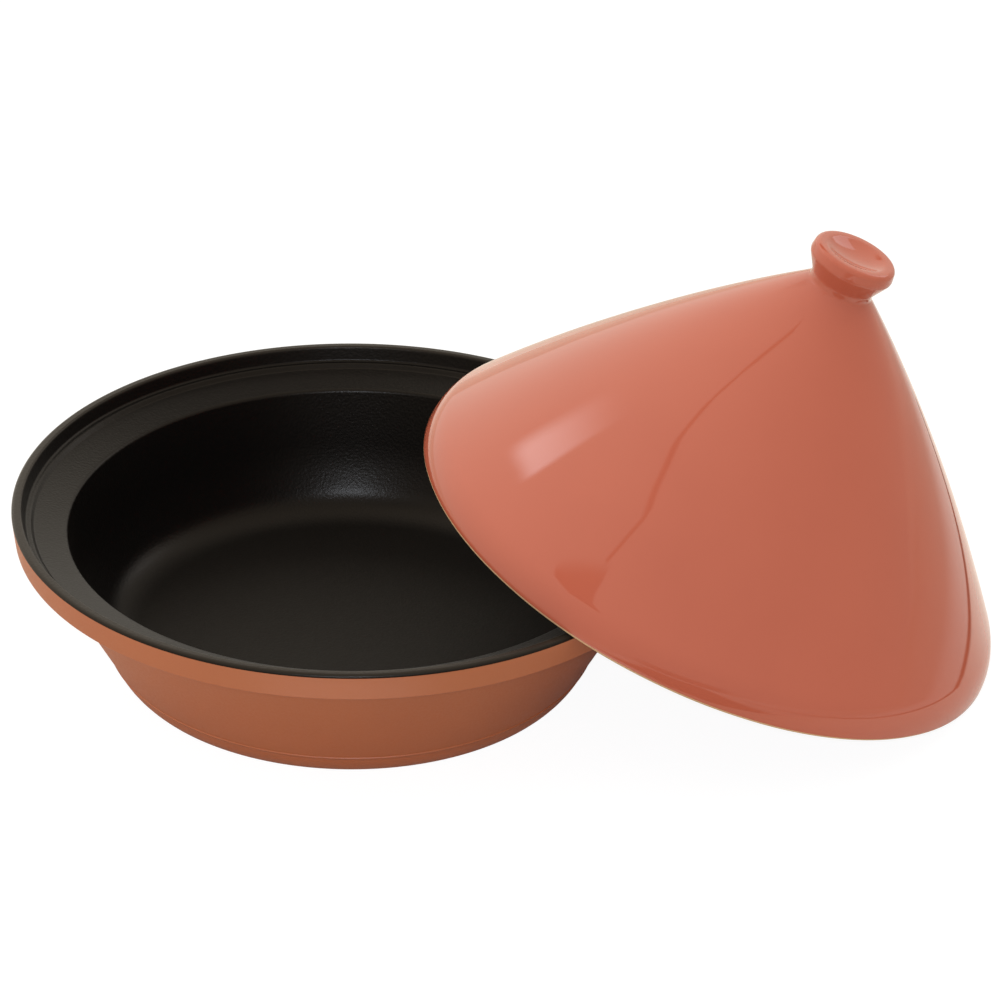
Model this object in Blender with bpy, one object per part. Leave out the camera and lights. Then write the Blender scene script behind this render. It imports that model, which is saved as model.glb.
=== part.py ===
"""Tagine pot: a cast pan with a stepped lid seat, and a conical stoneware lid that leans on its rim.

Both pieces are turned. Each outline is a list of (radius, height) points in metres in the piece's own frame,
and a Screw modifier spins it. The lid stands beside the pan as it does while the food is served: its lower
edge on the table, its underside on the rim. Where it stands follows from the two outlines and its lean.
"""

from math import acos, atan2, ceil, cos, hypot, pi, radians, sin, tan

import bpy
import numpy as np

# Pan, outside
RIM_RADIUS = 0.150
PAN_HEIGHT = 0.0758
BAND_HEIGHT = 0.0130
BAND_TAPER = 0.0016
BAND_REACH = 0.0106
BAND_EDGE_ROUND = 0.0010
BAND_ROOT_ROUND = 0.0030
FOOT_RADIUS = 0.1024
FOOT_HEIGHT = 0.0090
FOOT_FLARE = 0.0058
FOOT_SWELL = 0.0007
FOOT_EDGE_ROUND = 0.0008

# Pan, lid seat
LIP_WIDTH = 0.0045
LIP_OUTER_ROUND = 0.0017
LIP_INNER_ROUND = 0.0012
LIP_DEPTH = 0.0067
LIP_DRAFT = 0.0018
STEP_WIDTH = 0.0029
STEP_DROP = 0.0019
STEP_ROUND = 0.0008
LEDGE_WIDTH = 0.0155
LEDGE_FALL = 0.0034
LEDGE_EDGE_ROUND = 0.0022

# Pan, bowl
BASE_THICKNESS = 0.0088
WALL_AT_FLOOR = 0.0042
BOWL_SWELL = 0.0030
FLOOR_ROUND = 0.0110

# Lid
LID_PLAY = 0.0048
LID_WALL = 0.0055
LID_EDGE_HEIGHT = 0.0020
LID_EDGE_ROUND = 0.0017
LID_EDGE_TUCK = 0.0004
LID_INNER_ROUND = 0.0020
SHOULDER_ROUND = 0.0246
CONE_CURVE_RADIUS = 0.885
NECK_RADIUS = 0.0144
NECK_HEIGHT = 0.1440
NECK_ROUND = 0.0020
HOLLOW_TOP_RADIUS = 0.0110

# Knob, heights above the neck
KNOB_HEIGHT = 0.0172
KNOB_RADIUS = 0.0194
KNOB_BROW_HEIGHT = 0.0114
KNOB_BROW_ROUND = 0.0032
KNOB_WAIST_RADIUS = 0.0147
KNOB_WAIST_HEIGHT = 0.0032
KNOB_WAIST_ROUND = 0.0040
KNOB_RIM_TAPER = 0.0008
KNOB_RIM_ROUND = 0.0022
DISH_RADIUS = 0.0155
DISH_DEPTH = 0.0030

# How the lid stands
LID_LEAN = radians(22.2)
LEAN_CLEARANCE = 0.0003

# Facets
TURN_STEPS = 72
ARC_STEP = radians(30.0)
SHOULDER_STEP = radians(8.0)
BOWL_STEPS = 5
FOOT_STEPS = 2
CONE_STEPS = 6
DISH_STEPS = 4
HOLLOW_TOP_STEPS = 3
RIM_SAMPLES = 361
FILLET_SHARE = 0.95

# Finishes
PAN_COLOUR = (0.36, 0.115, 0.055, 1.0)
PAN_ROUGHNESS = 0.45
LID_COLOUR = (0.53, 0.150, 0.085, 1.0)
LID_ROUGHNESS = 0.15


def arc(centre, radius, start, end, most_step=ARC_STEP):
    """Points on an arc from angle start to angle end, both ends included."""
    count = ceil(abs(end - start) / most_step - 1e-6) + 1
    angles = np.linspace(start, end, count)
    return [(centre[0] + radius * cos(a), centre[1] + radius * sin(a)) for a in angles]


def swell(start, end, rise, steps):
    """Points on an arc that leaves the straight line from start to end by rise, to the line's right."""
    along = np.subtract(end, start)
    across = np.array([along[1], -along[0]]) / hypot(*along)
    shares = np.linspace(0.0, 1.0, steps + 1)
    return [tuple(start + s * along + 4.0 * rise * s * (1.0 - s) * across) for s in shares]


def side(corner, other):
    """Direction from a corner to the next one, and how much of that side the corner's arc may use."""
    along = np.subtract(other[:2], corner[:2])
    length = hypot(*along)
    room = length if other[2] == 0.0 else length / 2.0
    return along / length, room * FILLET_SHARE


def rounded(corners):
    """An outline through (radius, height, round) corners, each corner an arc where its round isn't zero."""
    outline = []
    for i, corner in enumerate(corners):
        here = np.array(corner[:2])
        if corner[2] == 0.0:
            outline.append(tuple(here))
            continue
        back, back_room = side(corner, corners[i - 1])
        ahead, ahead_room = side(corner, corners[i + 1])
        half = acos(float(back @ ahead)) / 2.0
        fillet = min(corner[2], back_room * tan(half), ahead_room * tan(half))
        centre = here + (back + ahead) / hypot(*(back + ahead)) * fillet / sin(half)
        first = here + back * fillet / tan(half) - centre
        last = here + ahead * fillet / tan(half) - centre
        start = atan2(first[1], first[0])
        turn = (atan2(last[1], last[0]) - start + pi) % (2.0 * pi) - pi
        outline += arc(centre, fillet, start, start + turn)
    return outline


def sharp(points):
    """Plain points as corners without a round."""
    return [(r, z, 0.0) for r, z in points]


def seat_radius():
    """Radius of the recess that the lid drops into, at the outer end of the ledge."""
    return RIM_RADIUS - LIP_WIDTH - LIP_DRAFT - STEP_WIDTH


def pan_outline():
    """From the middle of the floor, up the bowl, over the seat and lip, and down the outside."""
    band_foot = PAN_HEIGHT - BAND_HEIGHT
    foot_edge = FOOT_RADIUS + FOOT_FLARE
    taper = (RIM_RADIUS - BAND_TAPER - BAND_REACH - foot_edge) / (band_foot - FOOT_HEIGHT)
    lip_inner = RIM_RADIUS - LIP_WIDTH
    step_height = PAN_HEIGHT - LIP_DEPTH
    seat = seat_radius()
    seat_height = step_height - STEP_DROP
    mouth = seat - LEDGE_WIDTH
    floor_edge = foot_edge + taper * (BASE_THICKNESS - FOOT_HEIGHT) - WALL_AT_FLOOR
    bowl = swell((floor_edge, BASE_THICKNESS), (mouth, seat_height - LEDGE_FALL), BOWL_SWELL, BOWL_STEPS)
    foot = swell((foot_edge, FOOT_HEIGHT), (FOOT_RADIUS, 0.0), -FOOT_SWELL, FOOT_STEPS)
    return rounded(
        [
            (0.0, BASE_THICKNESS, 0.0),
            (*bowl[0], FLOOR_ROUND),
            *sharp(bowl[1:-1]),
            (*bowl[-1], LEDGE_EDGE_ROUND),
            (seat, seat_height, STEP_ROUND),
            (seat, step_height, STEP_ROUND),
            (lip_inner - LIP_DRAFT, step_height, STEP_ROUND),
            (lip_inner, PAN_HEIGHT, LIP_INNER_ROUND),
            (RIM_RADIUS, PAN_HEIGHT, LIP_OUTER_ROUND),
            (RIM_RADIUS - BAND_TAPER, band_foot, BAND_EDGE_ROUND),
            (RIM_RADIUS - BAND_TAPER - BAND_REACH, band_foot, BAND_ROOT_ROUND),
            *sharp(foot[:-1]),
            (*foot[-1], FOOT_EDGE_ROUND),
            (0.0, 0.0, 0.0),
        ]
    )


def cone_arc(radius):
    """Centres of the shoulder and of the cone's long curve, and the angles where the curve starts and ends."""
    shoulder = np.array([radius - SHOULDER_ROUND, LID_EDGE_HEIGHT])
    reach = CONE_CURVE_RADIUS - SHOULDER_ROUND
    to_neck = np.array([NECK_RADIUS, NECK_HEIGHT]) - shoulder
    span = hypot(*to_neck)
    share = (CONE_CURVE_RADIUS**2 - span**2 - reach**2) / (2.0 * reach * span)
    start = atan2(to_neck[1], to_neck[0]) - acos(share)
    cone = shoulder - reach * np.array([cos(start), sin(start)])
    end = atan2(NECK_HEIGHT - cone[1], NECK_RADIUS - cone[0])
    return shoulder, cone, start, end


def knob_corners():
    """The knob, from the middle of its dish down to the neck."""
    top = NECK_HEIGHT + KNOB_HEIGHT
    dish = swell((0.0, top - DISH_DEPTH), (DISH_RADIUS, top), DISH_DEPTH / 4.0, DISH_STEPS)
    return [
        *sharp(dish[:-1]),
        (KNOB_RADIUS - KNOB_RIM_TAPER, top, KNOB_RIM_ROUND),
        (KNOB_RADIUS, NECK_HEIGHT + KNOB_BROW_HEIGHT, KNOB_BROW_ROUND),
        (KNOB_WAIST_RADIUS, NECK_HEIGHT + KNOB_WAIST_HEIGHT, KNOB_WAIST_ROUND),
        (NECK_RADIUS, NECK_HEIGHT, NECK_ROUND),
    ]


def lid_outline():
    """From the middle of the knob's dish, down the outside, round the bare edge and up the hollow."""
    radius = seat_radius() - LID_PLAY
    shoulder, cone, start, end = cone_arc(radius)
    step = (end - start) / CONE_STEPS
    outside = arc(cone, CONE_CURVE_RADIUS, end, start, step)[1:-1]
    outside += arc(shoulder, SHOULDER_ROUND, start, 0.0, SHOULDER_STEP)
    inner_curve = CONE_CURVE_RADIUS - LID_WALL
    inner_end = acos((HOLLOW_TOP_RADIUS - cone[0]) / inner_curve)
    hollow = arc(shoulder, SHOULDER_ROUND - LID_WALL, 0.0, start, SHOULDER_STEP)
    hollow += arc(cone, inner_curve, start, inner_end, step)[1:]
    dome = HOLLOW_TOP_RADIUS / tan(inner_end) / 2.0
    hollow += swell(hollow[-1], (0.0, hollow[-1][1] + dome), dome / 4.0, HOLLOW_TOP_STEPS)[1:]
    return rounded(
        [
            *knob_corners(),
            *sharp(outside),
            (radius - LID_EDGE_TUCK, 0.0, LID_EDGE_ROUND),
            (radius - LID_WALL, 0.0, LID_INNER_ROUND),
            *sharp(hollow),
        ]
    )


def gap_to_outline(points, outline):
    """Least distance from (radius, height) points to a turned solid's outline, negative for a point inside."""
    start = np.array(outline)
    end = np.roll(start, -1, axis=0)
    along = end - start
    length = np.maximum((along**2).sum(axis=1), 1e-18)
    off = points[:, None, :] - start[None, :, :]
    share = np.clip((off * along).sum(axis=2) / length, 0.0, 1.0)
    distance = np.linalg.norm(off - share[:, :, None] * along, axis=2).min(axis=1)
    crosses = (start[:, 1] > points[:, None, 1]) != (end[:, 1] > points[:, None, 1])
    height = np.where(along[:, 1] == 0.0, 1.0, along[:, 1])
    at = start[:, 0] + (points[:, None, 1] - start[:, 1]) / height * along[:, 0]
    inside = (crosses & (points[:, None, 0] < at)).sum(axis=1) % 2 == 1
    return float(np.where(inside, -distance, distance).min())


def lid_place(pan, lid):
    """Where the lid's middle goes, so that it leans at its angle on the table and on the pan's rim."""
    low = max(r * sin(LID_LEAN) - z * cos(LID_LEAN) for r, z in lid)
    lip = np.array([p for p in pan if p[0] > seat_radius()])
    turn = np.linspace(0.0, pi, RIM_SAMPLES)
    x = (lip[:, :1] * np.cos(turn)).ravel()
    y = (lip[:, :1] * np.sin(turn)).ravel()
    z = np.repeat(lip[:, 1], RIM_SAMPLES) - low

    def gap(middle):
        across = (x - middle) * cos(LID_LEAN) - z * sin(LID_LEAN)
        up = (x - middle) * sin(LID_LEAN) + z * cos(LID_LEAN)
        return gap_to_outline(np.stack([np.hypot(across, y), up], axis=1), lid) - LEAN_CLEARANCE

    far = RIM_RADIUS + seat_radius()
    step = LID_WALL / 2.0
    while gap(far - step) > 0.0:
        far -= step
    near = far - step
    while far - near > LEAN_CLEARANCE / 100.0:
        middle = (far + near) / 2.0
        if gap(middle) > 0.0:
            far = middle
        else:
            near = middle
    return far, 0.0, low


def finish(name, colour, roughness):
    """A plain material for one piece; glaze and coating hide any metal under them."""
    material = bpy.data.materials.new(name)
    material.use_nodes = True
    shader = material.node_tree.nodes["Principled BSDF"]
    shader.inputs["Base Color"].default_value = colour
    shader.inputs["Roughness"].default_value = roughness
    shader.inputs["Metallic"].default_value = 0.0
    return material


def turned(name, outline, material):
    """One solid of revolution about its own Z axis."""
    points = [(r, 0.0, z) for r, z in outline]
    mesh = bpy.data.meshes.new(name)
    mesh.from_pydata(points, [(i, i + 1) for i in range(len(points) - 1)], [])
    mesh.materials.append(material)
    piece = bpy.data.objects.new(name, mesh)
    bpy.context.scene.collection.objects.link(piece)
    spin = piece.modifiers.new("turn", "SCREW")
    spin.axis = "Z"
    spin.angle = 2.0 * pi
    spin.steps = TURN_STEPS
    spin.render_steps = TURN_STEPS
    spin.use_merge_vertices = True
    spin.merge_threshold = 1e-5
    spin.use_smooth_shade = True
    return piece


def main():
    for old in list(bpy.data.objects):
        bpy.data.objects.remove(old)
    pan = pan_outline()
    lid = lid_outline()
    turned("pan", pan, finish("coated_cast_aluminium", PAN_COLOUR, PAN_ROUGHNESS))
    cover = turned("lid", lid, finish("glazed_stoneware", LID_COLOUR, LID_ROUGHNESS))
    cover.location = lid_place(pan, lid)
    cover.rotation_euler = (0.0, LID_LEAN, 0.0)
    print(len(pan), "pan points,", len(lid), "lid points, lid at", [round(v, 5) for v in cover.location])


main()
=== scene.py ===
# %% [markdown]
# A tagine pot in two pieces: a cast aluminium pan with a black non-stick inside, and a glazed stoneware lid
# that leans on its rim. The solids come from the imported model, which is loaded first and never changed. This
# script dresses them: each solid is replaced by a finer turned mesh with its finishes.

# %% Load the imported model
from math import acos, atan2, ceil, cos, hypot, pi, radians, sin, tan

import bmesh
import bpy
import numpy as np
from mathutils import Matrix, Vector


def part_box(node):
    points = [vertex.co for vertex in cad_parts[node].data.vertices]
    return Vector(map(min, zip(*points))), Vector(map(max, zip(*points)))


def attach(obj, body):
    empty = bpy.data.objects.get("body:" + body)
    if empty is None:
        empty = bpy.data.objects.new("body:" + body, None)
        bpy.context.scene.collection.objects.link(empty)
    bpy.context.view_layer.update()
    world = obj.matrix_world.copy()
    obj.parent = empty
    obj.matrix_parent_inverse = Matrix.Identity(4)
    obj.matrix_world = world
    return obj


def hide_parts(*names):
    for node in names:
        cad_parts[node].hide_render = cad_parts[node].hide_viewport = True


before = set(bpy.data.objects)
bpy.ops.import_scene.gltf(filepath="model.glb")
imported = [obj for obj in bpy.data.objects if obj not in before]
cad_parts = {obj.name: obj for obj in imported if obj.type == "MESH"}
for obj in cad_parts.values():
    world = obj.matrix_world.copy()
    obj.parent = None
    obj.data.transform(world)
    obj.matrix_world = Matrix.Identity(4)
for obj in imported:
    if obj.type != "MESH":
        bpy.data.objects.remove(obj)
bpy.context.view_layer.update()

MM = 0.001

# %% [markdown]
# The photograph was taken with a long lens, so the pot looks almost drawn in parallel. A lens of 216 mm on a
# sensor of 36 mm, about 2.6 m away and looking down by 29 degrees, gives that flat perspective. The camera is
# placed by an angle round the pot, a height angle and a small roll, so that each can be tuned by itself.

# %% Camera
CAMERA_LENS = 216.0
CAMERA_SENSOR = 36.0
CAMERA_DISTANCE = 2645.6 * MM
CAMERA_ELEVATION = radians(29.321)
CAMERA_AZIMUTH = radians(-1.083)
CAMERA_ROLL = radians(0.929)
CAMERA_AIM_ACROSS = 65.385 * MM
CAMERA_AIM_HEIGHT = 77.355 * MM


def direction(azimuth, elevation):
    """Unit vector away from the pot: azimuth 0 points to the camera's side, and grows to the right."""
    flat = cos(elevation)
    return Vector((sin(azimuth) * flat, -cos(azimuth) * flat, sin(elevation)))


camera = bpy.data.objects.new("camera", bpy.data.cameras.new("camera"))
bpy.context.scene.collection.objects.link(camera)
camera.data.lens = CAMERA_LENS
camera.data.sensor_width = CAMERA_SENSOR
backwards = direction(CAMERA_AZIMUTH, CAMERA_ELEVATION)
level = Vector((cos(CAMERA_AZIMUTH), sin(CAMERA_AZIMUTH), 0.0))
aim = level * CAMERA_AIM_ACROSS + Vector((0.0, 0.0, CAMERA_AIM_HEIGHT))
turned_camera = Matrix((level, backwards.cross(level), backwards)).transposed()
camera.matrix_world = (
    Matrix.Translation(aim + backwards * CAMERA_DISTANCE)
    @ (turned_camera @ Matrix.Rotation(CAMERA_ROLL, 3, "Z")).to_4x4()
)
bpy.context.scene.camera = camera
print("camera at", [round(v, 3) for v in camera.location])

# %% [markdown]
# Both pieces are turned, the pan in its mould and the lid on a wheel or a jigger, so each is one outline spun
# round an axis. An outline is written as a few corners with a radius on each, as on a drawing. The helpers
# below turn such corners into points: an arc on each rounded corner, and shallow bulges for the long curves.

# %% Helpers for outlines
ARC_STEP = radians(6.0)
STEP_SLACK = 1e-6
FILLET_SHARE = 0.95


def arc(centre, radius, start, end, most_step=ARC_STEP):
    """Points on an arc from angle start to angle end, both ends included."""
    count = ceil(abs(end - start) / most_step - STEP_SLACK) + 1
    angles = np.linspace(start, end, count)
    return [(centre[0] + radius * cos(a), centre[1] + radius * sin(a)) for a in angles]


def swell(start, end, rise, steps):
    """Points that leave the straight line from start to end by rise, to the line's right."""
    along = np.subtract(end, start)
    across = np.array([along[1], -along[0]]) / hypot(*along)
    shares = np.linspace(0.0, 1.0, steps + 1)
    return [tuple(start + s * along + 4.0 * rise * s * (1.0 - s) * across) for s in shares]


def side(corner, other):
    """Direction from a corner to the next one, and how much of that side the corner's arc may use."""
    along = np.subtract(other[:2], corner[:2])
    length = hypot(*along)
    return along / length, (length if other[2] == 0.0 else length / 2.0) * FILLET_SHARE


def rounded(corners):
    """An outline through (radius, height, round) corners, each corner an arc where its round isn't zero."""
    outline = []
    for i, corner in enumerate(corners):
        here = np.array(corner[:2])
        if corner[2] == 0.0:
            outline.append(tuple(here))
            continue
        back, back_room = side(corner, corners[i - 1])
        ahead, ahead_room = side(corner, corners[i + 1])
        half = acos(float(back @ ahead)) / 2.0
        fillet = min(corner[2], back_room * tan(half), ahead_room * tan(half))
        centre = here + (back + ahead) / hypot(*(back + ahead)) * fillet / sin(half)
        first = here + back * fillet / tan(half) - centre
        last = here + ahead * fillet / tan(half) - centre
        start = atan2(first[1], first[0])
        turn = (atan2(last[1], last[0]) - start + pi) % (2.0 * pi) - pi
        outline += arc(centre, fillet, start, start + turn)
    return outline


def sharp(points):
    """Plain points as corners without a round."""
    return [(r, z, 0.0) for r, z in points]


print("arcs are drawn in steps of", round(ARC_STEP / radians(1.0), 1), "degrees")

# %% [markdown]
# The pan is one casting: a tapering bowl on a bevelled foot, a thick band under the rim that a hand can hold,
# a raised lip, and inside it two steps and a sloping ledge that seat the lid. Its height is read from the
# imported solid, and the other sizes repeat the drawing. The bowl's inside is drawn more finely than in the
# solid: a wide fillet at the floor, then a soft knee below a steeper wall, which carry the reflections.

# %% Outline of the pan
RIM_RADIUS = 150.0 * MM
PAN_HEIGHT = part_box("pan")[1].z
BAND_HEIGHT = 13.0 * MM
BAND_TAPER = 1.6 * MM
BAND_REACH = 10.6 * MM
BAND_EDGE_ROUND = 1.0 * MM
BAND_ROOT_ROUND = 3.0 * MM
FOOT_RADIUS = 102.4 * MM
FOOT_HEIGHT = 9.0 * MM
FOOT_FLARE = 5.8 * MM
FOOT_SWELL = 0.7 * MM
FOOT_EDGE_ROUND = 0.8 * MM
FOOT_BEAD = 0.45 * MM
LIP_WIDTH = 4.5 * MM
LIP_OUTER_ROUND = 1.7 * MM
LIP_INNER_ROUND = 1.2 * MM
LIP_DEPTH = 6.7 * MM
LIP_DRAFT = 1.8 * MM
STEP_WIDTH = 2.9 * MM
STEP_DROP = 1.9 * MM
STEP_ROUND = 1.5 * MM
RISER_DRAFT = 0.8 * MM
LEDGE_WIDTH = 15.5 * MM
LEDGE_FALL = 3.4 * MM
LEDGE_EDGE_ROUND = 2.2 * MM
BASE_THICKNESS = 8.8 * MM
WALL_AT_FLOOR = 1.8 * MM
BOWL_SLOPE = radians(76.0)
BOWL_KNEE_HEIGHT = 30.0 * MM
BOWL_KNEE_ROUND = 95.0 * MM
FLOOR_ROUND = 20.0 * MM
FOOT_STEPS = 6
SEAT_RADIUS = RIM_RADIUS - LIP_WIDTH - LIP_DRAFT - STEP_WIDTH


def pan_outline():
    """From the middle of the floor, up the bowl, over the seat and lip, and down the outside."""
    band_foot = PAN_HEIGHT - BAND_HEIGHT
    foot_edge = FOOT_RADIUS + FOOT_FLARE
    taper = (RIM_RADIUS - BAND_TAPER - BAND_REACH - foot_edge) / (band_foot - FOOT_HEIGHT)
    lip_inner = RIM_RADIUS - LIP_WIDTH
    step_height = PAN_HEIGHT - LIP_DEPTH
    seat_height = step_height - STEP_DROP
    mouth = (SEAT_RADIUS - LEDGE_WIDTH, seat_height - LEDGE_FALL)
    knee = (mouth[0] - (mouth[1] - BOWL_KNEE_HEIGHT) / tan(BOWL_SLOPE), BOWL_KNEE_HEIGHT)
    floor_edge = (foot_edge + taper * (BASE_THICKNESS - FOOT_HEIGHT) - WALL_AT_FLOOR, BASE_THICKNESS)
    foot = swell((foot_edge, FOOT_HEIGHT), (FOOT_RADIUS, 0.0), -FOOT_SWELL, FOOT_STEPS)
    return rounded(
        [
            (0.0, BASE_THICKNESS, 0.0),
            (*floor_edge, FLOOR_ROUND),
            (*knee, BOWL_KNEE_ROUND),
            (*mouth, LEDGE_EDGE_ROUND),
            (SEAT_RADIUS - RISER_DRAFT, seat_height, STEP_ROUND),
            (SEAT_RADIUS + RISER_DRAFT, step_height, STEP_ROUND),
            (lip_inner - LIP_DRAFT, step_height, STEP_ROUND),
            (lip_inner, PAN_HEIGHT, LIP_INNER_ROUND),
            (RIM_RADIUS, PAN_HEIGHT, LIP_OUTER_ROUND),
            (RIM_RADIUS - BAND_TAPER, band_foot, BAND_EDGE_ROUND),
            (RIM_RADIUS - BAND_TAPER - BAND_REACH, band_foot, BAND_ROOT_ROUND),
            (foot_edge + taper * 2.0 * FOOT_BEAD, FOOT_HEIGHT + 2.0 * FOOT_BEAD, FOOT_BEAD),
            (foot_edge + 2.0 * FOOT_BEAD, FOOT_HEIGHT + FOOT_BEAD, FOOT_BEAD),
            *sharp(foot[:-1]),
            (*foot[-1], FOOT_EDGE_ROUND),
            (0.0, 0.0, 0.0),
        ]
    )


pan_points = pan_outline()
print(len(pan_points), "points on the pan's outline")

# %% [markdown]
# The lid is a cone that swells a little, because clay that is drawn straight would look hollow-cheeked. It
# ends in a rounded shoulder, a bare clay ring that stood on the kiln shelf, and a knob with a dished top.
# Two arcs that touch make the side: the shoulder, and a very large one up to the neck.

# %% Outline of the lid
LID_PLAY = 4.8 * MM
LID_WALL = 5.5 * MM
LID_EDGE_HEIGHT = 2.0 * MM
LID_EDGE_ROUND = 1.7 * MM
LID_EDGE_TUCK = 0.4 * MM
LID_INNER_ROUND = 2.0 * MM
SHOULDER_ROUND = 24.6 * MM
CONE_CURVE_RADIUS = 885.0 * MM
NECK_RADIUS = 14.4 * MM
NECK_HEIGHT = 144.0 * MM
NECK_ROUND = 2.0 * MM
HOLLOW_TOP_RADIUS = 11.0 * MM
KNOB_HEIGHT = 17.2 * MM
KNOB_RADIUS = 19.4 * MM
KNOB_BROW_HEIGHT = 11.4 * MM
KNOB_BROW_ROUND = 3.2 * MM
KNOB_WAIST_RADIUS = 14.7 * MM
KNOB_WAIST_HEIGHT = 3.2 * MM
KNOB_WAIST_ROUND = 4.0 * MM
KNOB_RIM_TAPER = 0.8 * MM
KNOB_RIM_ROUND = 2.6 * MM
DISH_RADIUS = 14.0 * MM
DISH_EDGE_ROUND = 6.0 * MM
DISH_DEPTH = 3.0 * MM
SHOULDER_STEP = radians(3.0)
CONE_STEPS = 48
DISH_STEPS = 12
HOLLOW_TOP_STEPS = 8
# A curve that leaves its straight line by this share of its depth ends level in the middle of the piece
LEVEL_MIDDLE = 0.25
LID_RADIUS = SEAT_RADIUS - LID_PLAY


def cone_arc():
    """Centres of the shoulder and of the cone's long curve, and the angles where it starts and ends."""
    shoulder = np.array([LID_RADIUS - SHOULDER_ROUND, LID_EDGE_HEIGHT])
    reach = CONE_CURVE_RADIUS - SHOULDER_ROUND
    to_neck = np.array([NECK_RADIUS, NECK_HEIGHT]) - shoulder
    span = hypot(*to_neck)
    share = (CONE_CURVE_RADIUS**2 - span**2 - reach**2) / (2.0 * reach * span)
    start = atan2(to_neck[1], to_neck[0]) - acos(share)
    cone = shoulder - reach * np.array([cos(start), sin(start)])
    return shoulder, cone, start, atan2(NECK_HEIGHT - cone[1], NECK_RADIUS - cone[0])


def lid_outline():
    """From the middle of the knob's dish, down the outside, round the bare edge and up the hollow."""
    shoulder, cone, start, end = cone_arc()
    step = (end - start) / CONE_STEPS
    top = NECK_HEIGHT + KNOB_HEIGHT
    dish = swell((0.0, top - DISH_DEPTH), (DISH_RADIUS, top), DISH_DEPTH * LEVEL_MIDDLE, DISH_STEPS)
    outside = arc(cone, CONE_CURVE_RADIUS, end, start, step)[1:-1]
    outside = [p for p in outside if p[1] < NECK_HEIGHT - NECK_ROUND]
    outside += arc(shoulder, SHOULDER_ROUND, start, 0.0, SHOULDER_STEP)
    inner_curve = CONE_CURVE_RADIUS - LID_WALL
    inner_end = acos((HOLLOW_TOP_RADIUS - cone[0]) / inner_curve)
    hollow = arc(shoulder, SHOULDER_ROUND - LID_WALL, 0.0, start, SHOULDER_STEP)
    hollow += arc(cone, inner_curve, start, inner_end, step)[1:]
    dome = HOLLOW_TOP_RADIUS / tan(inner_end) / 2.0
    hollow += swell(hollow[-1], (0.0, hollow[-1][1] + dome), dome * LEVEL_MIDDLE, HOLLOW_TOP_STEPS)[1:]
    return rounded(
        [
            *sharp(dish[:-2]),
            (*dish[-1], DISH_EDGE_ROUND),
            (KNOB_RADIUS - KNOB_RIM_TAPER, top, KNOB_RIM_ROUND),
            (KNOB_RADIUS, NECK_HEIGHT + KNOB_BROW_HEIGHT, KNOB_BROW_ROUND),
            (KNOB_WAIST_RADIUS, NECK_HEIGHT + KNOB_WAIST_HEIGHT, KNOB_WAIST_ROUND),
            (NECK_RADIUS, NECK_HEIGHT, NECK_ROUND),
            *sharp(outside),
            (LID_RADIUS - LID_EDGE_TUCK, 0.0, LID_EDGE_ROUND),
            (LID_RADIUS - LID_WALL, 0.0, LID_INNER_ROUND),
            *sharp(hollow),
        ]
    )


lid_points = lid_outline()
print(len(lid_points), "points on the lid's outline, radius", round(LID_RADIUS / MM, 2), "mm")

# %% [markdown]
# One small function adds any node with its settings and links, in shader trees and in geometry trees alike.
# A value that is a socket becomes a link, and any other value is set on the socket. Colours are given as hex
# values, as on a paint chart, and turned to the linear values that light is worked out in.

# %% Helpers for node trees
NOISE_MIDDLE = 0.5


def add(tree, kind, inputs=None, **settings):
    """Adds one node, sets its settings, then sets or links its inputs."""
    new = tree.nodes.new(kind)
    for name, value in settings.items():
        setattr(new, name, value)
    for name, value in (inputs or {}).items():
        if isinstance(value, bpy.types.NodeSocket):
            tree.links.new(value, new.inputs[name])
        else:
            new.inputs[name].default_value = value
    return new


def linear(code):
    """A colour such as #C0704F as linear red, green, blue and alpha."""
    parts = [int(code[i:i + 2], 16) / 255.0 for i in (1, 3, 5)]
    return [p / 12.92 if p <= 0.04045 else ((p + 0.055) / 1.055) ** 2.4 for p in parts] + [1.0]


def empty_material(name):
    """A new material and its empty tree."""
    material = bpy.data.materials.new(name)
    material.use_nodes = True
    material.node_tree.nodes.clear()
    return material, material.node_tree


def blank_material(name):
    """A new material and its tree with only a Principled BSDF and an output."""
    material, tree = empty_material(name)
    shader = add(tree, "ShaderNodeBsdfPrincipled")
    add(tree, "ShaderNodeOutputMaterial", {"Surface": shader.outputs["BSDF"]})
    return material, tree, shader


print("mid grey #808080 is", round(linear("#808080")[0], 3), "in linear light")

# %% [markdown]
# The outside of the pan is a sprayed, baked coating in terracotta. Sprayed paint dries with a faint orange
# peel, so its gloss is satin and broken up, and the colour drifts a little over the casting. A picture of
# real paint could be wrapped round the pan, but noise in millimetres needs no unwrapping and never repeats.

# %% Sprayed terracotta coating
COAT_COLOUR = "#B56337"
COAT_DEEP_COLOUR = "#AD5C32"
COAT_DRIFT = 45.0 * MM
COAT_PEEL = 1.1 * MM
COAT_PEEL_DEPTH = 0.012 * MM
COAT_PEEL_RANGE = (0.3, 0.7)
COAT_ROUGHNESS = (0.38, 0.48)
COAT_IOR = 1.65


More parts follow.
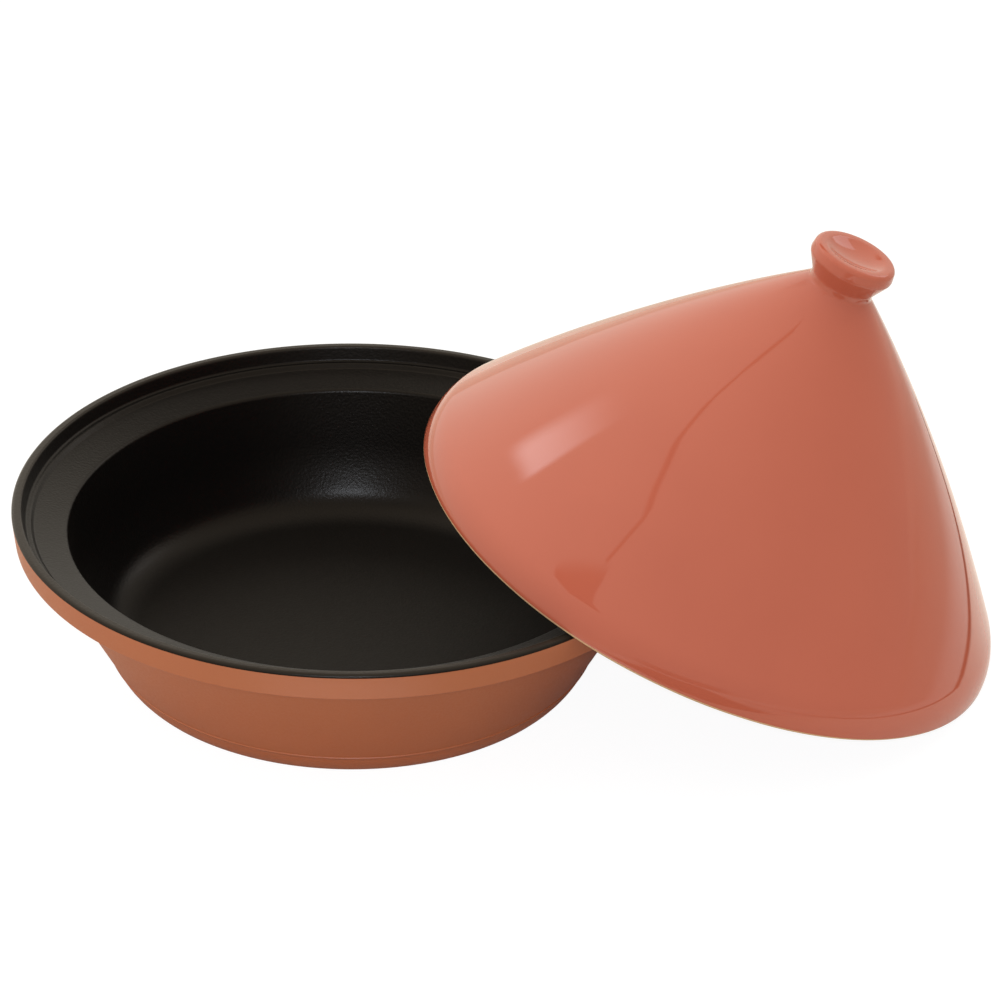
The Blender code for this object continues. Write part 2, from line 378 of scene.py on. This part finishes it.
def sprayed_terracotta_coating():
    material, tree, shader = blank_material("sprayed_terracotta_coating")
    place = add(tree, "ShaderNodeTexCoord").outputs["Object"]
    drift = add(tree, "ShaderNodeTexNoise", {"Vector": place, "Scale": 1.0 / COAT_DRIFT, "Detail": 4.0})
    colour = add(
        tree, "ShaderNodeMix",
        {"Factor": drift.outputs["Fac"], "A": linear(COAT_COLOUR), "B": linear(COAT_DEEP_COLOUR)},
        data_type="RGBA",
    )
    peel = add(tree, "ShaderNodeTexNoise", {"Vector": place, "Scale": 1.0 / COAT_PEEL, "Detail": 2.0})
    gloss = add(
        tree, "ShaderNodeMapRange",
        {"Value": peel.outputs["Fac"], "From Min": COAT_PEEL_RANGE[0], "From Max": COAT_PEEL_RANGE[1],
         "To Min": COAT_ROUGHNESS[0], "To Max": COAT_ROUGHNESS[1]},
    )
    bump = add(
        tree, "ShaderNodeBump",
        {"Height": peel.outputs["Fac"], "Strength": 1.0, "Distance": COAT_PEEL_DEPTH},
    )
    tree.links.new(colour.outputs["Result"], shader.inputs["Base Color"])
    shader.inputs["IOR"].default_value = COAT_IOR
    tree.links.new(gloss.outputs["Result"], shader.inputs["Roughness"])
    tree.links.new(bump.outputs["Normal"], shader.inputs["Normal"])
    return material


coating = sprayed_terracotta_coating()
print("made", coating.name)

# %% [markdown]
# The inside is a black non-stick coating, sprayed on a blasted surface. It is nearly black, but its grain
# scatters a wide, weak sheen and breaks a lamp's glint into sparks. The grain is drawn a little coarser than
# it is, so that it shows. The bowl's floor is rougher than its wall, and the top of the lip is painted a
# shade paler, a painted highlight for the light it catches. One material does it all, because the height
# above the table tells these places apart.

# %% Black non-stick coating
BLACK_COLOUR = "#090807"
BLACK_PALE_COLOUR = "#0E0B0A"
BLACK_GRAIN = 1.2 * MM
BLACK_GRAIN_DEPTH = 0.11 * MM
# Painted highlight: a paler colour on the top of the lip, standing in for the light it catches
BLACK_PAINTED_HIGHLIGHT_COLOUR = "#29241F"
PAINTED_HIGHLIGHT_DEPTH = 1.5 * MM
BLACK_ROUGHNESS_FLOOR = 0.52
BLACK_ROUGHNESS_RIM = 0.32
BLACK_ROUGHNESS_GRAIN = 0.10
BLACK_SMOOTH_FROM = 13.0 * MM
BLACK_IOR = 1.28
BLACK_SHEEN_COLOUR = "#FFECD9"


def black_non_stick_coating():
    material, tree, shader = blank_material("black_non_stick_coating")
    place = add(tree, "ShaderNodeTexCoord").outputs["Object"]
    grain = add(tree, "ShaderNodeTexNoise", {"Vector": place, "Scale": 1.0 / BLACK_GRAIN, "Detail": 3.0})
    colour = add(
        tree, "ShaderNodeMix",
        {"Factor": grain.outputs["Fac"], "A": linear(BLACK_COLOUR), "B": linear(BLACK_PALE_COLOUR)},
        data_type="RGBA",
    )
    height = add(tree, "ShaderNodeSeparateXYZ", {"Vector": place}).outputs["Z"]
    # Painted highlight: the colour turns paler towards the top of the lip, where it catches light
    painted_highlight = add(
        tree, "ShaderNodeMapRange",
        {"Value": height, "From Min": PAN_HEIGHT - PAINTED_HIGHLIGHT_DEPTH, "From Max": PAN_HEIGHT},
    )
    colour = add(
        tree, "ShaderNodeMix",
        {"Factor": painted_highlight.outputs["Result"], "A": colour.outputs["Result"], "B": linear(BLACK_PAINTED_HIGHLIGHT_COLOUR)},
        data_type="RGBA",
    )
    smoother = add(
        tree, "ShaderNodeMapRange",
        {"Value": height, "From Min": BASE_THICKNESS, "From Max": BLACK_SMOOTH_FROM,
         "To Min": BLACK_ROUGHNESS_FLOOR, "To Max": BLACK_ROUGHNESS_RIM},
    )
    speckle = add(tree, "ShaderNodeMath", {0: grain.outputs["Fac"], 1: NOISE_MIDDLE}, operation="SUBTRACT")
    gloss = add(
        tree, "ShaderNodeMath",
        {0: speckle.outputs[0], 1: BLACK_ROUGHNESS_GRAIN, 2: smoother.outputs["Result"]},
        operation="MULTIPLY_ADD",
    )
    bump = add(
        tree, "ShaderNodeBump",
        {"Height": grain.outputs["Fac"], "Strength": 1.0, "Distance": BLACK_GRAIN_DEPTH},
    )
    tree.links.new(colour.outputs["Result"], shader.inputs["Base Color"])
    shader.inputs["IOR"].default_value = BLACK_IOR
    shader.inputs["Specular Tint"].default_value = linear(BLACK_SHEEN_COLOUR)
    tree.links.new(gloss.outputs[0], shader.inputs["Roughness"])
    tree.links.new(bump.outputs["Normal"], shader.inputs["Normal"])
    return material


black = black_non_stick_coating()
print("made", black.name)

# %% [markdown]
# The lid wears a glossy terracotta glaze. Melted glass lies smooth, so it mirrors lamps and table sharply.
# Its colour drifts by a shade where the glaze ran thicker or thinner. A clear coat over a matt body would do
# it too, but one smooth coloured surface looks the same and is simpler.

# %% Glossy terracotta glaze
GLAZE_COLOUR = "#C2634A"
GLAZE_THIN_COLOUR = "#BC5E46"
GLAZE_DRIFT = 38.0 * MM
GLAZE_ROUGHNESS = 0.045
GLAZE_IOR = 1.52


def glossy_terracotta_glaze():
    material, tree, shader = blank_material("glossy_terracotta_glaze")
    place = add(tree, "ShaderNodeTexCoord").outputs["Object"]
    drift = add(tree, "ShaderNodeTexNoise", {"Vector": place, "Scale": 1.0 / GLAZE_DRIFT, "Detail": 5.0})
    colour = add(
        tree, "ShaderNodeMix",
        {"Factor": drift.outputs["Fac"], "A": linear(GLAZE_COLOUR), "B": linear(GLAZE_THIN_COLOUR)},
        data_type="RGBA",
    )
    shader.inputs["Roughness"].default_value = GLAZE_ROUGHNESS
    shader.inputs["IOR"].default_value = GLAZE_IOR
    tree.links.new(colour.outputs["Result"], shader.inputs["Base Color"])
    return material


glaze = glossy_terracotta_glaze()
print("made", glaze.name)

# %% [markdown]
# The ring under the lid is wiped clean of glaze before firing, or the lid would stick to the kiln shelf. Bare
# stoneware is cream, dull and a little gritty, so its noise drives both the colour and a fine bump.

# %% Bare stoneware
CLAY_COLOUR = "#E3BE93"
CLAY_GRIT_COLOUR = "#CFA478"
CLAY_GRIT = 0.8 * MM
CLAY_GRIT_DEPTH = 0.06 * MM
CLAY_ROUGHNESS = 0.85


def bare_stoneware():
    material, tree, shader = blank_material("bare_stoneware")
    place = add(tree, "ShaderNodeTexCoord").outputs["Object"]
    grit = add(tree, "ShaderNodeTexNoise", {"Vector": place, "Scale": 1.0 / CLAY_GRIT, "Detail": 3.0})
    colour = add(
        tree, "ShaderNodeMix",
        {"Factor": grit.outputs["Fac"], "A": linear(CLAY_COLOUR), "B": linear(CLAY_GRIT_COLOUR)},
        data_type="RGBA",
    )
    bump = add(
        tree, "ShaderNodeBump",
        {"Height": grit.outputs["Fac"], "Strength": 1.0, "Distance": CLAY_GRIT_DEPTH},
    )
    shader.inputs["Roughness"].default_value = CLAY_ROUGHNESS
    tree.links.new(colour.outputs["Result"], shader.inputs["Base Color"])
    tree.links.new(bump.outputs["Normal"], shader.inputs["Normal"])
    return material


clay = bare_stoneware()
print("made", clay.name)

# %% [markdown]
# Spinning an outline is a rule, so Geometry Nodes do it. The outline becomes a curve, is laid beside a circle
# and swept round it, as a template is drawn round a potter's wheel. A Screw modifier would do it too, but the
# tree can also add a little unevenness and choose between two finishes by a value that each point carries.

# %% Geometry Nodes tree that turns an outline
FINISH = "second_finish"
FINISH_SPLIT = 0.5
MERGE_DISTANCE = 0.002 * MM


def turning_tree():
    tree = bpy.data.node_groups.new("turn_outline", "GeometryNodeTree")
    sockets = {}
    for name, kind in (
        ("Outline", "NodeSocketGeometry"), ("Turn Steps", "NodeSocketInt"),
        ("Wheel Radius", "NodeSocketFloat"), ("Waver Depth", "NodeSocketFloat"),
        ("Waver Length", "NodeSocketFloat"), ("Seed", "NodeSocketFloat"),
        ("First Finish", "NodeSocketMaterial"), ("Second Finish", "NodeSocketMaterial"),
    ):
        sockets[name] = tree.interface.new_socket(name, in_out="INPUT", socket_type=kind).identifier
    tree.interface.new_socket("Turned", in_out="OUTPUT", socket_type="NodeSocketGeometry")
    given = add(tree, "NodeGroupInput").outputs

    # The outline as a curve, laid beside a circle and swept round it
    curve = add(tree, "GeometryNodeMeshToCurve", {"Mesh": given["Outline"]})
    position = add(tree, "GeometryNodeInputPosition").outputs[0]
    here = add(tree, "ShaderNodeSeparateXYZ", {"Vector": position}).outputs
    out = add(
        tree, "ShaderNodeMath", {0: here["X"], 1: given["Wheel Radius"]}, operation="SUBTRACT"
    ).outputs[0]
    down = add(tree, "ShaderNodeMath", {0: here["Z"], 1: -1.0}, operation="MULTIPLY").outputs[0]
    beside = add(tree, "ShaderNodeCombineXYZ", {"X": out, "Y": down, "Z": 0.0}).outputs[0]
    template = add(tree, "GeometryNodeSetPosition", {"Geometry": curve.outputs[0], "Position": beside})
    wheel = add(
        tree, "GeometryNodeCurvePrimitiveCircle",
        {"Resolution": given["Turn Steps"], "Radius": given["Wheel Radius"]},
    )
    swept = add(
        tree, "GeometryNodeCurveToMesh", {"Curve": wheel.outputs[0], "Profile Curve": template.outputs[0]}
    )
    closed = add(
        tree, "GeometryNodeMergeByDistance", {"Geometry": swept.outputs[0], "Distance": MERGE_DISTANCE}
    )

    # A slow waver in and out along the surface's normal
    per_metre = add(tree, "ShaderNodeMath", {0: 1.0, 1: given["Waver Length"]}, operation="DIVIDE").outputs[0]
    waver = add(
        tree, "ShaderNodeTexNoise", {"W": given["Seed"], "Detail": 1.0, "Scale": per_metre},
        noise_dimensions="4D",
    )
    both_ways = add(
        tree, "ShaderNodeMath", {0: waver.outputs["Fac"], 1: NOISE_MIDDLE}, operation="SUBTRACT"
    ).outputs[0]
    depth = add(
        tree, "ShaderNodeMath", {0: both_ways, 1: given["Waver Depth"]}, operation="MULTIPLY"
    ).outputs[0]
    normal = add(tree, "GeometryNodeInputNormal").outputs[0]
    push = add(tree, "ShaderNodeVectorMath", {0: normal, "Scale": depth}, operation="SCALE")
    uneven = add(
        tree, "GeometryNodeSetPosition", {"Geometry": closed.outputs[0], "Offset": push.outputs[0]}
    )

    # Smooth shading, and one of two finishes for each face
    smooth = add(tree, "GeometryNodeSetShadeSmooth", {"Geometry": uneven.outputs[0]})
    real = add(tree, "GeometryNodeRealizeInstances", {"Geometry": smooth.outputs[0]})
    mark = add(tree, "GeometryNodeInputNamedAttribute", {"Name": FINISH}, data_type="FLOAT")
    second = add(
        tree, "FunctionNodeCompare", {"A": mark.outputs[0], "B": FINISH_SPLIT}, operation="GREATER_THAN"
    )
    first_set = add(
        tree, "GeometryNodeSetMaterial", {"Geometry": real.outputs[0], "Material": given["First Finish"]}
    )
    both_set = add(
        tree, "GeometryNodeSetMaterial",
        {"Geometry": first_set.outputs[0], "Selection": second.outputs[0],
         "Material": given["Second Finish"]},
    )
    add(tree, "NodeGroupOutput", {0: both_set.outputs[0]})
    return tree, sockets


turn_tree, turn_inputs = turning_tree()
print("tree with", len(turn_tree.nodes), "nodes")

# %% [markdown]
# A piece is made by handing an outline to the tree. The result is copied to a plain mesh, its faces are
# turned outwards, and the outline object is thrown away, so that nothing live is left on the piece.

# %% Function that makes a turned piece
WHEEL_RADIUS = 300.0 * MM
LITRES = 1000.0


def turned_piece(name, outline, marks, steps, waver_depth, waver_length, seed, first, second):
    """A plain turned mesh about Z; marks holds 0 or 1 for each outline point, and 0.5 where finishes meet."""
    mesh = bpy.data.meshes.new(name + "_outline")
    edges = [(i, i + 1) for i in range(len(outline) - 1)]
    mesh.from_pydata([(r, 0.0, z) for r, z in outline], edges, [])
    mesh.attributes.new(FINISH, "FLOAT", "POINT").data.foreach_set("value", marks)
    template = bpy.data.objects.new(name + "_outline", mesh)
    bpy.context.scene.collection.objects.link(template)
    modifier = template.modifiers.new("turn", "NODES")
    modifier.node_group = turn_tree
    for label, value in (
        ("Turn Steps", steps), ("Wheel Radius", WHEEL_RADIUS), ("Waver Depth", waver_depth),
        ("Waver Length", waver_length), ("Seed", seed), ("First Finish", first), ("Second Finish", second),
    ):
        modifier[turn_inputs[label]] = value
    evaluated = template.evaluated_get(bpy.context.evaluated_depsgraph_get())
    plain = bpy.data.meshes.new_from_object(evaluated)
    plain.name = name
    bpy.data.objects.remove(template)
    work = bmesh.new()
    work.from_mesh(plain)
    bmesh.ops.recalc_face_normals(work, faces=work.faces)
    volume = work.calc_volume(signed=True)
    loose = sum(1 for e in work.edges if not e.is_manifold)
    work.to_mesh(plain)
    work.free()
    print(name, len(plain.polygons), "faces, litres", round(volume * LITRES, 3), "open edges", loose)
    piece = bpy.data.objects.new(name, plain)
    bpy.context.scene.collection.objects.link(piece)
    return piece


# %% [markdown]
# The black coating is sprayed over the lip and stops on its outer edge. The outline's points carry a mark: 1
# where the pan is black, 0 where it is terracotta, and a half on the ring where the two meet.

# %% The pan
BLACK_WRAP = 1.5 * MM
TURN_STEPS = 288
PAN_WAVER_DEPTH = 0.05 * MM
PAN_WAVER_LENGTH = 60.0 * MM
PAN_SEED = 3.0


def finish_marks(outline, first_of_other):
    """1 up to the ring where the finishes meet, one half on it, and 0 after it."""
    return [
        1.0 if i < first_of_other else FINISH_SPLIT if i == first_of_other else 0.0
        for i in range(len(outline))
    ]


lip_middle = RIM_RADIUS - LIP_WIDTH / 2.0
lip_outside = next(
    i for i, (r, z) in enumerate(pan_points) if r > lip_middle and z < PAN_HEIGHT - BLACK_WRAP
)
pan = turned_piece(
    "pan_body", pan_points, finish_marks(pan_points, lip_outside), TURN_STEPS,
    PAN_WAVER_DEPTH, PAN_WAVER_LENGTH, PAN_SEED, coating, black,
)
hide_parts("pan")
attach(pan, "pan")

# %% [markdown]
# The lid is turned upright, leaned by its angle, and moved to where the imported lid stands. Its glaze is a
# touch uneven, which is what bends the reflections on it.

# %% The lid
LID_LEAN = radians(22.2)
LID_WAVER_DEPTH = 0.5 * MM
LID_WAVER_LENGTH = 55.0 * MM
LID_SEED = 7.0
CLAY_RING = 1.6 * MM

ring_inner = LID_RADIUS - 2.0 * LID_WALL
ring_start = next(i for i, (r, z) in enumerate(lid_points) if r > KNOB_RADIUS and z < CLAY_RING)
ring_end = max(i for i, (r, z) in enumerate(lid_points) if r > ring_inner and z < CLAY_RING)
ring_marks = [
    FINISH_SPLIT if i in (ring_start, ring_end) else 1.0 if ring_start < i < ring_end else 0.0
    for i in range(len(lid_points))
]
lid = turned_piece(
    "lid_cone", lid_points, ring_marks, TURN_STEPS,
    LID_WAVER_DEPTH, LID_WAVER_LENGTH, LID_SEED, glaze, clay,
)
lid.data.transform(Matrix.Rotation(LID_LEAN, 4, "Y"))
lid_low, lid_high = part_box("lid")
corners = np.array([v.co for v in lid.data.vertices])
across = (lid_low.x + lid_high.x - corners[:, 0].min() - corners[:, 0].max()) / 2.0
lid.data.transform(Matrix.Translation((across, 0.0, lid_low.z - corners[:, 2].min())))
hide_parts("lid")
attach(lid, "lid")
print("lid stands", round(across / MM, 2), "mm to the right")

# %% [markdown]
# What the pot stands on matters, because glaze mirrors it along the lid's shoulder. It is one large plane,
# and its sheets are painted by a mask, so that no edge of paper or board needs a mesh. A sheet has six
# numbers: left, right, front and back, the radius of its corners, and the width of its blur, all in metres.

# %% Function that masks a sheet on the floor
def sheet(tree, here, bounds):
    """1 on a sheet and 0 off it, by the distance from the rectangle that its corner arcs are struck from."""
    left, right, front, back, corner, soft = bounds
    middle = ((left + right) / 2.0, (front + back) / 2.0, 0.0)
    reach = ((right - left) / 2.0 - corner, (back - front) / 2.0 - corner, 0.0)
    off = add(tree, "ShaderNodeVectorMath", {0: here, 1: middle}, operation="SUBTRACT").outputs[0]
    off = add(tree, "ShaderNodeVectorMath", {0: off}, operation="ABSOLUTE").outputs[0]
    off = add(tree, "ShaderNodeVectorMath", {0: off, 1: reach}, operation="SUBTRACT").outputs[0]
    off = add(tree, "ShaderNodeVectorMath", {0: off, 1: (0.0, 0.0, 0.0)}, operation="MAXIMUM").outputs[0]
    far = add(tree, "ShaderNodeVectorMath", {0: off}, operation="LENGTH").outputs["Value"]
    return add(
        tree, "ShaderNodeMapRange",
        {"Value": far, "From Min": corner - soft / 2.0, "From Max": corner + soft / 2.0,
         "To Min": 1.0, "To Max": 0.0},
        interpolation_type="SMOOTHSTEP",
    ).outputs[0]


# %% [markdown]
# The pot stands on a cream board, with a painted shadow along the board's right edge and a dark cloth in
# front. They show only in reflections. To the camera the floor is plain and white with a faint shadow left
# in it. Four zones are painted pools of light, which glow only in reflections: at the right, in front, at
# the left and behind.

# %% Floor
FLOOR_HALF = 12.0
BOARD_COLOUR = "#E4DBCD"
CLOTH_COLOUR = "#161616"
BOARD_EDGE_SHADOW_COLOUR = "#3C3A37"
TABLE_COLOUR = "#D2CCC4"
SEEN_COLOUR = "#6C6C6C"
BOARD = (-FLOOR_HALF, 0.350, -0.250, FLOOR_HALF, 0.090, 0.004)
# Painted shadow: a dark strip along the board's right edge, seen only in reflections
BOARD_EDGE_SHADOW = (0.348, 0.361, -0.700, 0.300, 0.006, 0.010)
SHEET = (-FLOOR_HALF, -0.080, -0.800, FLOOR_HALF, 0.080, 0.060)
CLOTH = (-0.200, 0.240, -1.200, -0.100, 0.040, 0.040)
# Painted pools of light: zones of the floor that glow only in reflections
LIT_CORNER = (0.230, 0.480, -0.200, 0.700, 0.100, 0.150)
LIT_FRONT = (-0.080, 0.070, -0.300, -0.180, 0.050, 0.060)
LIT_LEFT = (-0.700, 0.050, 0.100, 0.750, 0.100, 0.150)
LIT_BACK = (-FLOOR_HALF, FLOOR_HALF, 0.600, FLOOR_HALF, 0.300, 0.400)
GLOW_SEEN = 0.93
GLOW_CORNER = 0.30
GLOW_FRONT = 0.90
GLOW_LEFT = 0.22
GLOW_BACK = 0.12


def board_and_cloth():
    material, tree = empty_material("board_and_cloth")
    path = add(tree, "ShaderNodeLightPath").outputs
    here = add(tree, "ShaderNodeTexCoord").outputs["Object"]
    # Painted shadow along the board's right edge
    edge_shadow = sheet(tree, here, BOARD_EDGE_SHADOW)
    colour = linear(TABLE_COLOUR)
    for share, code in (
        (sheet(tree, here, CLOTH), CLOTH_COLOUR),
        (sheet(tree, here, SHEET), BOARD_COLOUR),
        (sheet(tree, here, BOARD), BOARD_COLOUR),
        (edge_shadow, BOARD_EDGE_SHADOW_COLOUR),
        (path["Is Camera Ray"], SEEN_COLOUR),
    ):
        colour = add(
            tree, "ShaderNodeMix", {"Factor": share, "A": colour, "B": linear(code)}, data_type="RGBA"
        ).outputs["Result"]
    mirrored = add(
        tree, "ShaderNodeMath", {0: path["Is Glossy Ray"], 1: path["Is Transmission Ray"]},
        operation="MAXIMUM",
    ).outputs[0]
    # Painted pools of light: four zones glow, seen only by mirrored rays
    glow = 0.0
    for zone, cut, strength in (
        (LIT_CORNER, edge_shadow, GLOW_CORNER), (LIT_FRONT, 0.0, GLOW_FRONT),
        (LIT_LEFT, 0.0, GLOW_LEFT), (LIT_BACK, 0.0, GLOW_BACK),
    ):
        share = add(
            tree, "ShaderNodeMath", {0: sheet(tree, here, zone), 1: cut}, operation="SUBTRACT", use_clamp=True
        ).outputs[0]
        glow = add(
            tree, "ShaderNodeMath", {0: share, 1: strength, 2: glow}, operation="MULTIPLY_ADD"
        ).outputs[0]
    seen = add(
        tree, "ShaderNodeMath", {0: path["Is Camera Ray"], 1: GLOW_SEEN}, operation="MULTIPLY"
    ).outputs[0]
    glow = add(
        tree, "ShaderNodeMath", {0: glow, 1: mirrored, 2: seen}, operation="MULTIPLY_ADD"
    ).outputs[0]
    matt = add(tree, "ShaderNodeBsdfDiffuse", {"Color": colour})
    shine = add(tree, "ShaderNodeEmission", {"Strength": glow})
    both = add(tree, "ShaderNodeAddShader", {0: matt.outputs[0], 1: shine.outputs[0]})
    add(tree, "ShaderNodeOutputMaterial", {"Surface": both.outputs[0]})
    return material


floor_mesh = bpy.data.meshes.new("floor")
floor_corners = [(x * FLOOR_HALF, y * FLOOR_HALF, 0.0) for x, y in ((-1, -1), (1, -1), (1, 1), (-1, 1))]
floor_mesh.from_pydata(floor_corners, [], [(0, 1, 2, 3)])
floor_mesh.materials.append(board_and_cloth())
floor = bpy.data.objects.new("floor", floor_mesh)
bpy.context.scene.collection.objects.link(floor)
print("floor", [round(v, 1) for v in floor.dimensions], "m")

# %% [markdown]
# The pot is lit as a shop lights crockery: inside a tent of white cloth that a lamp brightens from the back
# left. The world's background is that cloth, which grows brighter towards one direction and gives an even
# light. Lamps alone would leave hard shadows. The camera looks past the tent and sees plain white.

# %% Light tent
LIGHT_SIDE = (-145.0, 40.0)
TENT_COLOUR = "#FFF9EC"
TENT_DIM = 0.62
TENT_BRIGHT = 0.86
TENT_TURN = -0.6
TENT_CURVE = 2.0


def light_tent():
    world = bpy.data.worlds.new("light_tent")
    world.use_nodes = True
    tree = world.node_tree
    tree.nodes.clear()
    path = add(tree, "ShaderNodeLightPath").outputs
    there = add(tree, "ShaderNodeTexCoord").outputs["Generated"]
    towards = direction(radians(LIGHT_SIDE[0]), radians(LIGHT_SIDE[1]))
    facing = add(
        tree, "ShaderNodeVectorMath", {0: there, 1: towards}, operation="DOT_PRODUCT"
    ).outputs["Value"]
    share = add(
        tree, "ShaderNodeMapRange", {"Value": facing, "From Min": TENT_TURN, "From Max": 1.0}
    ).outputs[0]
    curve = add(tree, "ShaderNodeMath", {0: share, 1: TENT_CURVE}, operation="POWER").outputs[0]
    glow = add(
        tree, "ShaderNodeMath", {0: curve, 1: TENT_BRIGHT, 2: TENT_DIM}, operation="MULTIPLY_ADD"
    ).outputs[0]
    cloth = add(tree, "ShaderNodeBackground", {"Color": linear(TENT_COLOUR), "Strength": glow})
    white = add(tree, "ShaderNodeBackground", {"Strength": 1.0})
    mix = add(
        tree, "ShaderNodeMixShader", {0: path["Is Camera Ray"], 1: cloth.outputs[0], 2: white.outputs[0]}
    )
    add(tree, "ShaderNodeOutputWorld", {"Surface": mix.outputs[0]})
    bpy.context.scene.world = world


light_tent()
print("tent brightest at azimuth", LIGHT_SIDE[0], "and elevation", LIGHT_SIDE[1], "degrees")

# %% [markdown]
# What the tent doesn't give are the marks that glaze mirrors. Each lamp or dark thing in the studio is a card
# of a real size in a real place, so its mirror image bends over the glaze by itself. A card can fade at its
# edges, as light does on cloth, by turning clear there. The camera doesn't see it.

# %% Function that hangs a card
STUDIO_MIDDLE = Vector((0.10, 0.0, 0.08))
HARD_EDGES = (0.0, 0.0, 0.0, 0.0)
WHITE = "#FFFFFF"


def card_material(name, glow, fade, tint):
    """Plain light that turns clear over a share of the card at its left, right, near and far edge."""
    material, tree = empty_material(name)
    unwrapped = add(tree, "ShaderNodeUVMap", uv_map="card").outputs[0]
    place = add(tree, "ShaderNodeSeparateXYZ", {"Vector": unwrapped}).outputs
    surface = add(tree, "ShaderNodeEmission", {"Color": linear(tint), "Strength": glow}).outputs[0]
    for (axis, edge), share in zip((("X", 0.0), ("X", 1.0), ("Y", 0.0), ("Y", 1.0)), fade):
        if share == 0.0:
            continue
        inner = edge + share if edge == 0.0 else edge - share
        there = add(
            tree, "ShaderNodeMapRange", {"Value": place[axis], "From Min": edge, "From Max": inner},
            interpolation_type="SMOOTHSTEP",
        ).outputs[0]
        clear = add(tree, "ShaderNodeBsdfTransparent").outputs[0]
        surface = add(tree, "ShaderNodeMixShader", {0: there, 1: clear, 2: surface}).outputs[0]
    add(tree, "ShaderNodeOutputMaterial", {"Surface": surface})
    return material


def hang_card(name, corner, across, up, glow, fade=HARD_EDGES, tint=WHITE):
    """A card from one corner along two sides."""
    mesh = bpy.data.meshes.new(name)
    mesh.from_pydata([corner, corner + across, corner + across + up, corner + up], [], [(0, 1, 2, 3)])
    unwrap = mesh.uv_layers.new(name="card")
    for loop, uv in enumerate(((0.0, 0.0), (1.0, 0.0), (1.0, 1.0), (0.0, 1.0))):
        unwrap.data[loop].uv = uv
    mesh.materials.append(card_material(name, glow, fade, tint))
    card = bpy.data.objects.new(name, mesh)
    bpy.context.scene.collection.objects.link(card)
    card.visible_camera = False
    return card


def aimed_card(name, azimuth, elevation, distance, width, height, glow, tint=WHITE, soft=0.0):
    """An upright card that faces the pot, seen from the pot in the given direction in degrees."""
    away = direction(radians(azimuth), radians(elevation))
    across = Vector((0.0, 0.0, 1.0)).cross(away).normalized() * width
    up = away.cross(across).normalized() * height
    corner = STUDIO_MIDDLE + away * distance - (across + up) / 2.0
    return hang_card(name, corner, across, up, glow, (soft,) * 4, tint)


def light_only(card, *pieces):
    """Lets a card light only the given pieces, and cast no shadow itself."""
    lit = bpy.data.collections.new(card.name + "_pieces")
    for piece in pieces:
        lit.objects.link(piece)
    card.light_linking.receiver_collection = lit
    card.visible_shadow = False


# %% [markdown]
# A small cool lamp beside the camera brings out the grain in the bowl. On smooth glaze it would leave a hard
# white dot, so the lamp is hung twice: one lights only the pan, and one lights the lid and the floor but
# isn't mirrored. A soft box at the right and two dark cards, behind and in front, give a gentle contrast.

# %% Front lamp, soft box and dark cards
LAMP = {
    "azimuth": -3.0, "elevation": 30.0, "distance": 2.2,
    "width": 0.012, "height": 0.012, "tint": "#CCE2FF",
}
LAMP_GLOW_PAN = 36500.0
LAMP_GLOW_LID = 32600.0
SOFT_BOX_GLOW = 2.0
DARK_CARD_GLOW = 0.10

light_only(aimed_card("front_lamp", glow=LAMP_GLOW_PAN, **LAMP), pan)
lamp_on_lid = aimed_card("front_lamp_on_lid", glow=LAMP_GLOW_LID, **LAMP)
lamp_on_lid.visible_glossy = False
light_only(lamp_on_lid, lid, floor)
aimed_card(
    "right_softbox", azimuth=125.0, elevation=30.0, distance=1.6, width=0.6, height=0.6, glow=SOFT_BOX_GLOW
)
aimed_card(
    "dark_back", azimuth=180.0, elevation=50.0, distance=1.5, width=0.9, height=0.55,
    glow=DARK_CARD_GLOW, soft=0.2,
)
aimed_card(
    "dark_front", azimuth=0.0, elevation=0.5, distance=1.9, width=1.6, height=0.4,
    glow=DARK_CARD_GLOW, soft=0.3,
)
print("lamp", LAMP["distance"], "m away at elevation", LAMP["elevation"], "degrees")

# %% [markdown]
# Overhead hang a strip light, which makes the soft window on the lid's left, and the dark arm and head of a
# boom, which make the thin line down the lid and the dark patch at its end. The arm is a row of short bars
# along a bent path, because a card is straight. All of them are level, just under the ceiling.

# %% Strip light and boom
CEILING = 1.5
STRIP_GLOW = 4.3
BOOM_GLOW = 0.15
BOOM_WIDTH = 0.060
BOOM_FADE = (0.4, 0.4, 0.0, 0.0)
BOOM = (
    (0.14, -0.22), (-0.10, -0.15), (-0.20, -0.18), (-0.24, -0.30),
    (-0.21, -0.50), (-0.18, -0.62), (-0.32, -0.72),
)


def ceiling_card(name, corner, across, up, glow, fade):
    """A level card under the ceiling, from a corner along two sides, all in plan."""
    return hang_card(name, Vector((*corner, CEILING)), Vector((*across, 0.0)), Vector((*up, 0.0)), glow, fade)


ceiling_card(
    "strip_light", corner=(-0.97, 0.40), across=(0.38, -0.12), up=(-0.25, 0.85),
    glow=STRIP_GLOW, fade=(0.15, 0.95, 0.12, 0.50),
)
for bar, (start, end) in enumerate(zip(BOOM[:-1], BOOM[1:])):
    along = Vector(end) - Vector(start)
    aside = Vector((along.y, -along.x)).normalized() * BOOM_WIDTH
    ceiling_card("boom_arm_%d" % bar, Vector(start) - aside / 2.0, aside, along, BOOM_GLOW, BOOM_FADE)
ceiling_card(
    "boom_head", corner=(-0.60, -0.455), across=(0.33, -0.30), up=(-0.11, -0.505),
    glow=BOOM_GLOW, fade=(0.1, 0.05, 0.15, 0.05),
)

# %% [markdown]
# The view transform is Standard, so that a colour comes out about as it is written.

# %% Finish
bpy.context.scene.view_settings.view_transform = "Standard"
